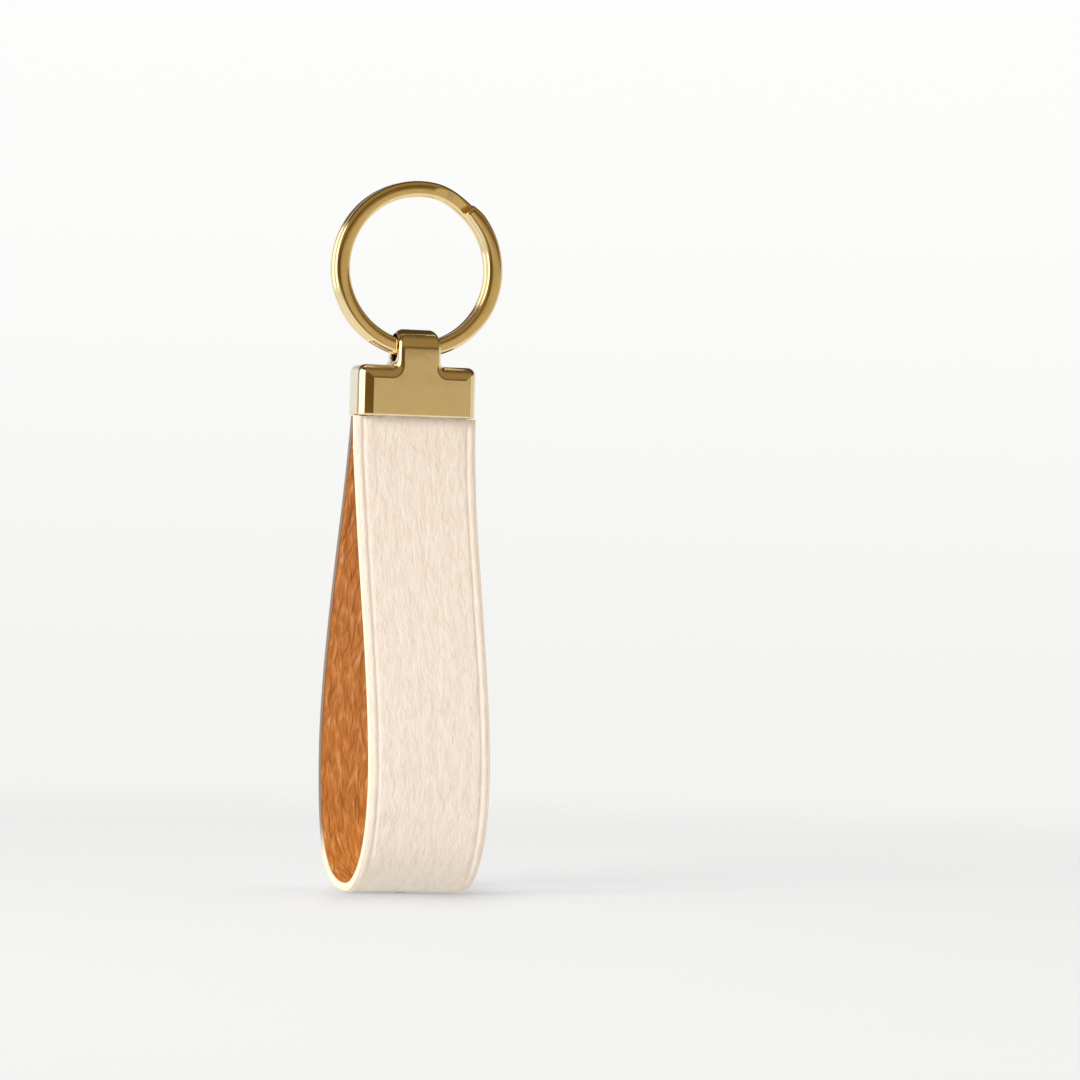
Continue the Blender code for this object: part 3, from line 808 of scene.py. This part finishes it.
def screw(name, place):
    """A head with a small rounded rim over a cone and a shank, turned about Y, with a slot cut across."""
    rounded = stacked(SCREW_HEAD - HEAD_RIM * (1 - np.sin(quarter(6))), -HEAD_RIM * (1 - np.cos(quarter(6))))
    profile = [
        (POLE, 0),
        *rounded,
        (SCREW_HEAD, -HEAD_LAND),
        (SCREW_SHANK, -HEAD_LAND - (SCREW_HEAD - SCREW_SHANK)),
        (SCREW_SHANK, -screw_depth + SHANK_CHAMFER),
        (SCREW_SHANK - SHANK_CHAMFER, -screw_depth),
    ]
    x, y, z = place
    groove = boxed(
        name + "_slot",
        (x - 2 * SCREW_HEAD, y - GROOVE_DEPTH, z - GROOVE_HALF),
        (x + 2 * SCREW_HEAD, y + OVERRUN, z + GROOVE_HALF),
    )
    mesh = cut(turned(name, profile, place, "y"), [groove])
    mark_edges(mesh, along_axes)
    return mesh


for name, place in zip(("screw_left", "screw_right"), screw_places):
    put(name, screw(name, place), "fob", "clamp_" + name, screw_gold)

# %% [markdown]
# ## The strap's line
#
# Seen from the side, the folded strap is a long teardrop. Leather doesn't fold sharply: it leaves the clamp
# straight, swells out in two bulges and comes round in one wide bend. Four Bezier arcs follow it, and the
# points are then spaced evenly by arc length, so that the grain isn't stretched. The line is that of the
# solids, in the YZ plane, and y grows away from the viewer.

# %% Draw the strap's line
ROW_STEP = 0.24 * MM
LEG_OFFSET = 0.9 * MM
SHOULDER_GAP = 0.12 * MM
LOOP_BOTTOM = 73.7 * MM
FRONT_SIDE = (-(LEG_OFFSET + 12.2 * MM), -56.5 * MM)
BACK_SIDE = (LEG_OFFSET + 12.9 * MM, -51.9 * MM)
BOTTOM_FORWARD = 1.5 * MM
MOUTH_SHARES = (0.27, 0.10)
BULGE_SHARES = (0.28, 0.35)
LOWER_SHARES = (0.62, 0.84)
BOTTOM_SHARES = (0.56, 0.57)


def bezier(start, first, second, end, count=400):
    """The cubic (1-t)^3 P0 + 3 (1-t)^2 t P1 + 3 (1-t) t^2 P2 + t^3 P3."""
    t = np.linspace(0, 1, count)[:, None]
    return (1 - t) ** 3 * start + 3 * (1 - t) ** 2 * t * first + 3 * (1 - t) * t**2 * second + t**3 * end


def distance_run(line):
    """How far each point of a line is from its start, along the line."""
    return np.concatenate(([0], np.cumsum(np.linalg.norm(np.diff(line, axis=0), axis=1))))


def evenly(line, step):
    """The same line with its points one step apart along it."""
    run = distance_run(line)
    even = np.linspace(0, run[-1], int(round(run[-1] / step)) + 1)
    return stacked(*(np.interp(even, run, line[:, k]) for k in (0, 1)))


def loop_line():
    """The strap's middle line as (y, height over the foot), from the front shoulder round to the back one."""
    tops = [np.array((side * LEG_OFFSET, -SHOULDER_GAP)) for side in (-1, 1)]
    sides = [np.array(FRONT_SIDE), np.array(BACK_SIDE)]
    bottom = np.array(((FRONT_SIDE[0] + BACK_SIDE[0]) / 2 - BOTTOM_FORWARD, -LOOP_BOTTOM))
    arcs = []
    for k, (top, side) in enumerate(zip(tops, sides)):
        fall = np.array((0, top[1] - side[1]))
        drop = np.array((0, side[1] - bottom[1]))
        reach = np.array((side[0] - bottom[0], 0))
        leg = bezier(top, top - MOUTH_SHARES[k] * fall, side + BULGE_SHARES[k] * fall, side)
        bend = bezier(side, side - LOWER_SHARES[k] * drop, bottom + BOTTOM_SHARES[k] * reach, bottom)
        arcs.append(np.concatenate((leg, bend[1:])))
    return evenly(np.concatenate((arcs[0], arcs[1][-2::-1])), ROW_STEP)


loop = loop_line()
loop_run = np.arange(len(loop)) * np.linalg.norm(loop[1] - loop[0])
print("strap round the loop", round(loop_run[-1] / MM, 1), "mm")

# %% [markdown]
# ## From a line to a strap
#
# A strap is a section carried square to its line. As in the photograph, it is a little wider at the clamp's
# mouth, and its middle draws in round the bend. Above the mouth both ends are cut narrower, as tongues that
# go up into the clamp. A curve with a bevel would sweep a section too, but can't hollow it from place to
# place.

# %% Carry a section along the strap's line
STRAP_HALF = 9.5 * MM
TONGUE_HALF = 8.2 * MM
TONGUE_HEIGHT = 5.5 * MM
TONGUE_SHARES = (1, 0.3)
TONGUE_FOOT = 0.02 * MM
FLARE = 0.22 * MM
FLARE_REACH = 9.0 * MM
SADDLE = 0.32 * MM
SADDLE_REACH = 9.0 * MM


def flare(line):
    """How much wider the strap is on each side: a bell of the height over the clamp's foot."""
    return FLARE * np.exp(-((line[:, 1] / FLARE_REACH) ** 2))


def saddle(line):
    """How far the strap's middle draws in where it bends round: leather bent one way curls the other way
    across. It is a bell of the height over the loop's lowest point."""
    return SADDLE * np.exp(-(((line[:, 1] + LOOP_BOTTOM) / SADDLE_REACH) ** 2))


def with_tongues(line):
    """The loop's line with a straight tongue at each end, and each row's half width and distance run."""
    rise = np.array([share * TONGUE_HEIGHT for share in TONGUE_SHARES] + [TONGUE_FOOT])
    front = stacked(line[0, 0], rise - SHOULDER_GAP)
    back = stacked(line[-1, 0], rise[::-1] - SHOULDER_GAP)
    whole = np.concatenate((front, line, back))
    narrow = np.full(len(rise), TONGUE_HALF)
    half = np.concatenate((narrow, STRAP_HALF + flare(line), narrow))
    return whole, half, distance_run(whole) - TONGUE_HEIGHT


def sweep(line, across, out):
    """Carries section points along a line: x is across, and out is measured square to the line.

    The line's direction is its gradient, and the outward direction is that turned by a right angle. It is
    held level at the two ends, where the strap stands upright in the clamp."""
    along = np.gradient(line, axis=0)
    along[0] = along[-1] = (0, 1)
    along[0, 1] = -1
    along /= np.linalg.norm(along, axis=1, keepdims=True)
    outward = stacked(along[:, 1], -along[:, 0])
    yz = line[:, None, :] + outward[:, None, :] * out[..., None]
    return stacked(across, yz[..., 0], yz[..., 1] + foot)


print("strap with its tongues", round(distance_run(with_tongues(loop)[0])[-1] / MM, 1), "mm")

# %% [markdown]
# ## Two leathers
#
# The outer leather is cut to the strap's width, and a heated tool has run a crease a millimetre inside each
# edge, which leaves a soft round bead outside it. The lining is plain. Fine waves in the face, as shallow as
# a hair, keep the light on it from looking machined. They are geometry, so that they also stay in the mesh.

# %% Shape the face of the leather
STRAP_THICKNESS = 1.5 * MM
CREASE_AT = 8.35 * MM
CREASE_DEPTH = 0.16 * MM
CREASE_SPREAD = 0.30 * MM
BEAD_TOP = 8.8 * MM
BEAD_EDGE = 9.8 * MM
PLAIN_HALF = 7.9 * MM
half_thick = STRAP_THICKNESS / 2


def face_columns():
    """Places across the face, from one edge to the other, close together at the creases and the beads."""
    middle = np.linspace(-PLAIN_HALF, PLAIN_HALF, 64)
    side = np.linspace(PLAIN_HALF, STRAP_HALF, 27)[1:]
    return np.concatenate((-side[::-1], middle, side))


def face_height(x):
    """The face over its flat level: a bell-shaped groove at the crease, and outside it a bead that rolls off
    as a quarter ellipse, which the paint carries on to half the strap's thickness."""
    groove = -CREASE_DEPTH * np.exp(-(((np.abs(x) - CREASE_AT) / CREASE_SPREAD) ** 2))
    past = np.clip((np.abs(x) - BEAD_TOP) / (BEAD_EDGE - BEAD_TOP), 0, 1)
    return groove - half_thick * (1 - np.sqrt(1 - past**2))


def smooth_noise(shape, spread, seed):
    """Random numbers blurred by a bell curve of the given spread in cells, with mean 0 and deviation 1. The
    blur is a product in the frequency domain: each wave is scaled by exp(-2 (pi f s)^2)."""
    waves = np.fft.rfft2(np.random.default_rng(seed).standard_normal(shape))
    down = np.fft.fftfreq(shape[0])[:, None] * spread[0]
    across = np.fft.rfftfreq(shape[1])[None, :] * spread[1]
    field = np.fft.irfft2(waves * np.exp(-2 * math.pi**2 * (down**2 + across**2)), s=shape)
    return (field - field.mean()) / field.std()


print("the face drops", round(-face_height(np.array([STRAP_HALF]))[0] / MM, 2), "mm to its edge")

# %% Carry the two leathers along the line
OUTER_THICKNESS = 0.8 * MM
LINING_THICKNESS = 0.6 * MM
LINING_DROP = 0.06 * MM
LINING_POWER = 60
OUTER_WAVE = 0.006 * MM
LINING_WAVE = 0.012 * MM
WAVE_FADE = 1.5 * MM
STRAP_SHARP_FROM = 50


def leather(name, face_level, back_level, creased, wave, seed):
    """A closed section, face then back, carried along the strap. The attribute keeps its unrolled place."""
    line, half, run = with_tongues(loop)
    x = face_columns()
    back = np.linspace(STRAP_HALF, -STRAP_HALF, 24)
    way = math.copysign(1, face_level - back_level)
    shape = face_height(x) if creased else -LINING_DROP * (np.abs(x) / STRAP_HALF) ** LINING_POWER
    section_x = np.concatenate((x, back))
    section_out = np.concatenate((face_level + way * shape, np.full(len(back), back_level)))
    across = section_x * (half / STRAP_HALF)[:, None]
    out = np.repeat(section_out[None], len(line), axis=0)
    grid = (len(line), len(x))
    waves = smooth_noise(grid, (9, 4), seed) * 0.6 + smooth_noise(grid, (3, 2), seed + 1)
    inside = np.clip((STRAP_HALF - np.abs(x)) / WAVE_FADE, 0, 1)
    out[:, : len(x)] += way * wave * waves * inside
    out -= saddle(line)[:, None] * (1 - (section_x / STRAP_HALF) ** 2)
    points = sweep(line, across, out)
    places = {"unrolled": stacked(across, out, run[:, None])}
    return mesh_from(name, points, tube_faces(*points.shape[:2]), places, STRAP_SHARP_FROM)


outer_mesh = leather("outer_leather", half_thick, half_thick - OUTER_THICKNESS, True, OUTER_WAVE, 11)
lining_mesh = leather("lining", -half_thick, -half_thick + LINING_THICKNESS, False, LINING_WAVE, 23)
put("outer_leather", outer_mesh, "fob", "strap_outer", cream)
put("lining_leather", lining_mesh, "fob", "strap_lining", tan)

# %% [markdown]
# ## The painted edges
#
# The paint covers the cut edges of both leathers and laps a little over each face, as a rounded bead. Its
# section is a superellipse, squarer than an ellipse, and a slow noise along the edge makes its height and
# width uneven, as a brushed coat is. A plain round tube would be easier, but would stand out as a piping.

# %% Carry the painted bead along both edges
PAINT_WIDTH = 0.30 * MM
PAINT_POWER = 2.3
PAINT_WAVE = 0.012 * MM
PAINT_THIN = 0.72
FACE_LAP, LINING_LAP = 0.03 * MM, 0.01 * MM
BACK_LEG_FROM = 92 * MM
BACK_LEG_OVER = 8 * MM


def superellipse(power, steps):
    """Points at the angle a: (|cos a|^(2/p), |sin a|^(2/p)) with their signs. Power 2 is a circle, and a
    greater one is squarer: flat sides that turn softly into the corners."""
    angle = np.linspace(0, math.tau, steps, endpoint=False)
    ends = stacked(np.cos(angle), np.sin(angle))
    return np.sign(ends) * np.abs(ends) ** (2 / power)


def painted_edge(side, seed):
    """A superellipse by its angle, from the lining's face to where the leather's bead has dropped to. The
    coat is thinner along the back leg, by a share that rises smoothly from 0 to 1 there."""
    face_side = half_thick + face_height(np.array([STRAP_HALF]))[0] + FACE_LAP
    lining_side = half_thick + LINING_LAP
    section = superellipse(PAINT_POWER, 48)
    wave = smooth_noise((len(loop), 2), (12, 0), seed) * PAINT_WAVE
    back_leg_share = eased((loop_run - BACK_LEG_FROM) / BACK_LEG_OVER)[:, None]
    width = PAINT_WIDTH * (1 - PAINT_THIN * back_leg_share) + wave[:, :1]
    height = np.where(section[:, 1] > 0, face_side, lining_side) + wave[:, 1:]
    x = STRAP_HALF + flare(loop)[:, None] + section[:, 0] * width
    out = section[:, 1] * height
    points = sweep(loop, side * x, out)
    places = {
        "unrolled": stacked(side * x, out, loop_run[:, None]),
        "back_leg_share": np.broadcast_to(back_leg_share, x.shape),
    }
    return mesh_from("edge", points, tube_faces(*points.shape[:2]), places, STRAP_SHARP_FROM)


for name, side, seed in (("left", -1, 5), ("right", 1, 8)):
    put("painted_edge_" + name, painted_edge(side, seed), "fob", "edge_paint_" + name, paint)

# %% [markdown]
# ## The ground
#
# The picture is a bright product shot: a white ground that fades into a white surround, with no hard shadow
# and one thin dark line where the strap touches it. The ground glows a little, in place of the light that a
# white studio would throw on it. A glow takes no shadow, so it is made dimmer where the strap touches down.

# %% Lay the ground
GROUND_RADIUS = 0.45
FADE_FROM = 0.16
FADE_TO = 0.97 * GROUND_RADIUS
GROUND_COLOUR = (0.34, 0.34, 0.337, 1)
GROUND_GLOW = 0.513
GLOW_COLOUR = (0.972, 1.015, 1.065)
BOUNCE_COLOUR = (1.15, 1.13, 1.0)
TOUCH_HALF = 7.6 * MM
TOUCH_FORWARD = 1.15 * MM
TOUCH_TURN = 19.219
SHADE_REACH = 22 * MM
LEFT_FALL, RIGHT_FALL, DEPTH_FALL = 3, 1.3, 0.4
SHADE_DARKEST = 0.45
BELOW_STRAP = 0.02 * MM
floor_height = min(corner[2] for corner in (cad_low, cad_high)) - BELOW_STRAP


def floor_mesh():
    """A disc of rings of points, with radius growing evenly from a small flat middle."""
    around = np.linspace(0, math.tau, 96, endpoint=False)
    radius = np.linspace(0.001, GROUND_RADIUS, 24)[:, None]
    points = stacked(radius * np.cos(around), radius * np.sin(around), floor_height)
    faces = grid_faces(*points.shape[:2], wrap=True).tolist() + [list(range(len(around)))]
    mesh = bpy.data.meshes.new("floor")
    mesh.from_pydata(points.reshape(-1, 3), [], faces)
    mesh.shade_smooth()
    return mesh


def touch_shade(graph, place):
    """0 on the strap's touch line and 1 out of its shade, by the square root of the distance, which keeps
    the dark close to the line. Past each end and in depth the distance is multiplied by a fall."""
    turned_place = graph.node("Mapping", {}, {"Vector": place, "Rotation": (0, 0, math.radians(TOUCH_TURN))})
    across, along, _ = graph.axes(turned_place)
    past_left = (across * -1 - TOUCH_HALF) * LEFT_FALL
    past_right = (across - TOUCH_HALF) * RIGHT_FALL
    outside = past_left.larger(past_right).larger(0)
    along = (along + TOUCH_FORWARD) * DEPTH_FALL
    return graph.step((outside * outside + along * along) ** 0.25, 0, SHADE_REACH**0.5)


def glowing_ground(graph):
    """Matt white that fades out with the distance from the middle, so that the ground has no edge. The
    camera sees its glow dimmed where the strap stands, and the strap gets a little more of it."""
    place = graph.node("TexCoord", out="Object")
    level = graph.stretched(place, (1, 1, 0))
    distance = graph.node("VectorMath", {"operation": "LENGTH"}, {0: level}, out="Value")
    darkest = [SHADE_DARKEST * part for part in GLOW_COLOUR]
    shade = graph.colour_mix(touch_shade(graph, place), darkest, GLOW_COLOUR)
    seen_directly = graph.node("LightPath", out="Is Camera Ray")
    matt = {
        "Base Color": GROUND_COLOUR,
        "Roughness": 0.9,
        "Emission Color": graph.colour_mix(seen_directly, BOUNCE_COLOUR, shade),
        "Emission Strength": GROUND_GLOW,
    }
    fade = graph.step(distance, FADE_FROM, FADE_TO)
    shaders = {0: fade, 1: graph.node("BsdfPrincipled", {}, matt), 2: graph.node("BsdfTransparent")}
    return graph.node("MixShader", {}, shaders)


floor = in_scene("floor", floor_mesh())
floor.data.materials.append(finish("floor", glowing_ground))
print("floor at", round(floor_height / MM, 2), "mm")

# %% [markdown]
# ## The surround
#
# The metal tells what stood round the keyring: a bright softbox to the left, a dark room behind the camera,
# a dull tan card to the right and a white backdrop. Big planes could stand there, but the world shader
# paints them by direction at no cost. The metal sees that, while the camera itself sees plain white.

# %% Paint the surround
LOW_ROOM = (0.147, 0.085, 0.019)
HIGH_ROOM = (0.335, 0.225, 0.086)
ROOM_OVERHEAD = (0.08, 0.056, 0.032)
GROUND_SEEN = (0.56, 0.47, 0.33)
BACKDROP = (0.92, 0.95, 1.02)
LEFT_GAP = (0.31, 0.235, 0.13)
RIGHT_WALL = (0.82, 0.75, 0.57)
TAN_CARD = (0.605, 0.48, 0.262)
SOFTBOX = (2.3, 2.15, 1.75)
WHITE_BELOW = (0.893, 0.893, 0.88)
WHITE_ABOVE = (0.985, 0.985, 0.975)

world = bpy.data.worlds.new("surround")
bpy.context.scene.world = world
world.use_nodes = True
sky = Graph(world.node_tree)
east, north, up = sky.axes(sky.node("TexCoord", out="Generated"))
# Bearing and tilt are 0 straight in front. The bearing grows to the left, the tilt upwards and over the top.
bearing = sky.node("Math", {"operation": "ARCTAN2"}, {0: east * -1, 1: north * -1})
tilt = sky.node("Math", {"operation": "ARCTAN2"}, {0: up, 1: north * -1})


def window(value, low, high, soft):
    """1 between low and high and 0 outside, with soft borders."""
    return sky.step(value, low - soft, low + soft) * (1 - sky.step(value, high - soft, high + soft))


def degrees(*angles):
    """The angles in radians."""
    return [math.radians(angle) for angle in angles]


shown = sky.colour_mix(sky.step(tilt, *degrees(5, 22)), LOW_ROOM, HIGH_ROOM)
for part, colour in (
    (sky.step(tilt, *degrees(52, 102)), ROOM_OVERHEAD),
    ((1 - sky.step(up, -0.2, -0.05)) * 0.8, GROUND_SEEN),
    (sky.step(north, -0.25, 0.25) * window(up, -0.6, 0.33, 0.15), BACKDROP),
    (window(bearing, *degrees(122, 148, 3)) * 0.7, LEFT_GAP),
    (window(bearing, *degrees(-100, -61, 3)) * window(up, -0.22, 0.2, 0.08), RIGHT_WALL),
    (window(bearing, *degrees(-58, -14, 2)) * window(up, -0.9, 0.068, 0.006), TAN_CARD),
    (window(bearing, *degrees(62, 118, 2)) * window(up, -0.3, 0.6, 0.06), SOFTBOX),
):
    shown = sky.colour_mix(part, shown, colour)
seen = sky.colour_mix(sky.step(up, -0.05, 0.1), WHITE_BELOW, WHITE_ABOVE)
final = sky.colour_mix(sky.node("LightPath", out="Is Camera Ray"), shown, seen)
sky.node("OutputWorld", {}, {"Surface": sky.node("Background", {}, {"Color": final, "Strength": 1.0})})
print("surround", len(world.node_tree.nodes), "nodes")

# %% [markdown]
# ## The lamps
#
# Four large soft lamps light the leather and lay a pale shadow. They don't show in the metal, whose streaks
# are already right, nor to the camera. One lamp would do for the shape, but its shadow would be too dark.

# %% Hang the lamps
LAMP_AIM = (0, 0, -0.065)


def soft_light(name, place, size, power, colour=(1, 1, 1)):
    """A square area light that faces the keyring's middle."""
    lamp = bpy.data.lights.new(name, "AREA")
    lamp.shape, lamp.size, lamp.energy, lamp.color = "SQUARE", size, power, colour
    made = in_scene(name, lamp)
    made.location = place
    made.rotation_euler = (Vector(place) - Vector(LAMP_AIM)).to_track_quat("Z", "Y").to_euler()
    made.visible_camera = made.visible_glossy = False
    print(name, "lamp,", power, "W")


soft_light("key", (-0.75, -0.55, 0.35), 0.5, 8.4, (1, 0.985, 0.96))
soft_light("front", (0.25, -1.0, 0.15), 0.7, 0.9, (1, 0.99, 0.97))
soft_light("over", (0.1, 0.15, 0.8), 0.7, 3.8)
soft_light("right", (0.9, -0.35, 0.05), 0.5, 1.0)
